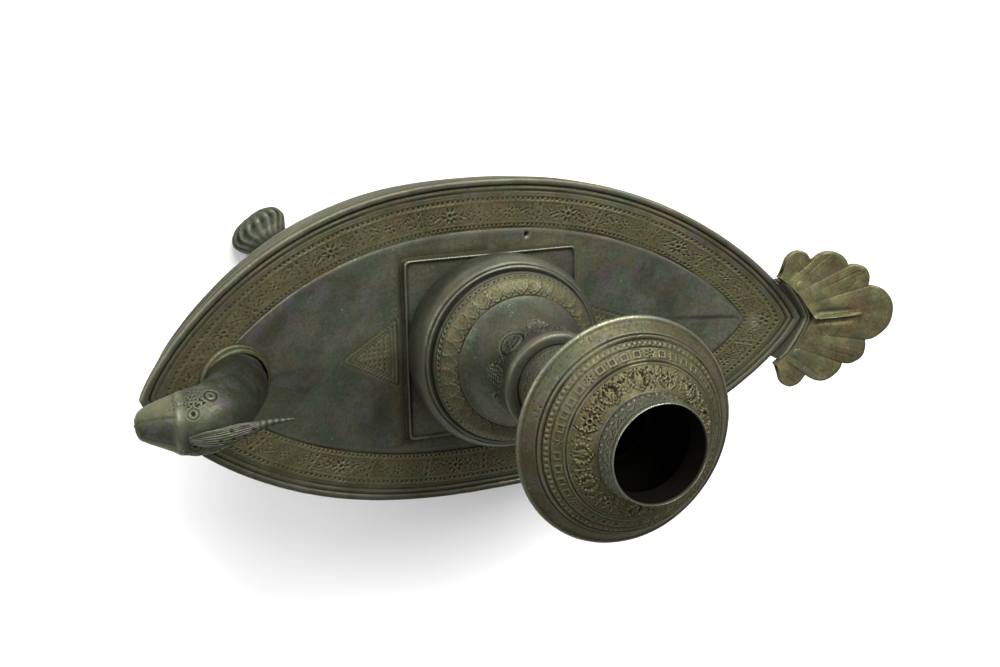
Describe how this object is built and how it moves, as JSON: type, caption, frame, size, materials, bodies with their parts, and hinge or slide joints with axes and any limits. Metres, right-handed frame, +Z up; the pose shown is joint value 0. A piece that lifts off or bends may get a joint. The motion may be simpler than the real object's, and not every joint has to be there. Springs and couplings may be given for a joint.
{
  "type": "covered boat-shaped oil lamp",
  "caption": "Bronze diya-style oil lamp: covered boat-shaped reservoir on fluted feet, engraved deck, neck with drip flange and round mouth, bird's head and palmette at the tips.",
  "frame": {"origin": "on the ground under the feet, below the middle of the lamp's overall length and width", "axes": "+X along the boat towards the palmette, -X towards the bird's head; +Z up along the neck's axis; +Y across the boat"},
  "size_m": [0.3046, 0.124, 0.203],
  "materials": {
    "dark_bronze": "dark olive patina, satin",
    "engraved_bronze": "chased and engraved, worn olive-brown patina",
    "smooth_bronze": "plain turned surface, grey-green patina, semi-gloss",
    "pale_bronze": "cast and rubbed, pale grey-green",
    "foot_bronze": "cast, pitted, grey-green",
    "rivet_bronze": "hammered, dark"
  },
  "bodies": {
    "root": {"reservoir_hull": "dark_bronze", "rim_moulding": "dark_bronze", "deck_plate": "engraved_bronze", "square_plinth": "smooth_bronze", "dome_base_ring": "smooth_bronze", "dome_shell": "engraved_bronze", "neck_ring": "smooth_bronze", "neck_tube": "smooth_bronze", "flange_underside": "dark_bronze", "flange_top": "engraved_bronze", "mouth_collar": "smooth_bronze", "bird_collar_lower": "engraved_bronze", "bird_collar_upper": "engraved_bronze", "bird_finial": "pale_bronze", "bird_crest": "engraved_bronze", "tail_strap": "dark_bronze", "tail_palmette": "engraved_bronze", "tail_rivet_left": "rivet_bronze", "tail_rivet_right": "rivet_bronze", "foot_front_left": "foot_bronze", "foot_front_right": "foot_bronze", "foot_rear_left": "foot_bronze", "foot_rear_right": "foot_bronze", "foot_rivet_front_left": "rivet_bronze", "foot_rivet_front_right": "rivet_bronze", "foot_rivet_rear_left": "rivet_bronze", "foot_rivet_rear_right": "rivet_bronze"}
  },
  "joints": []
}
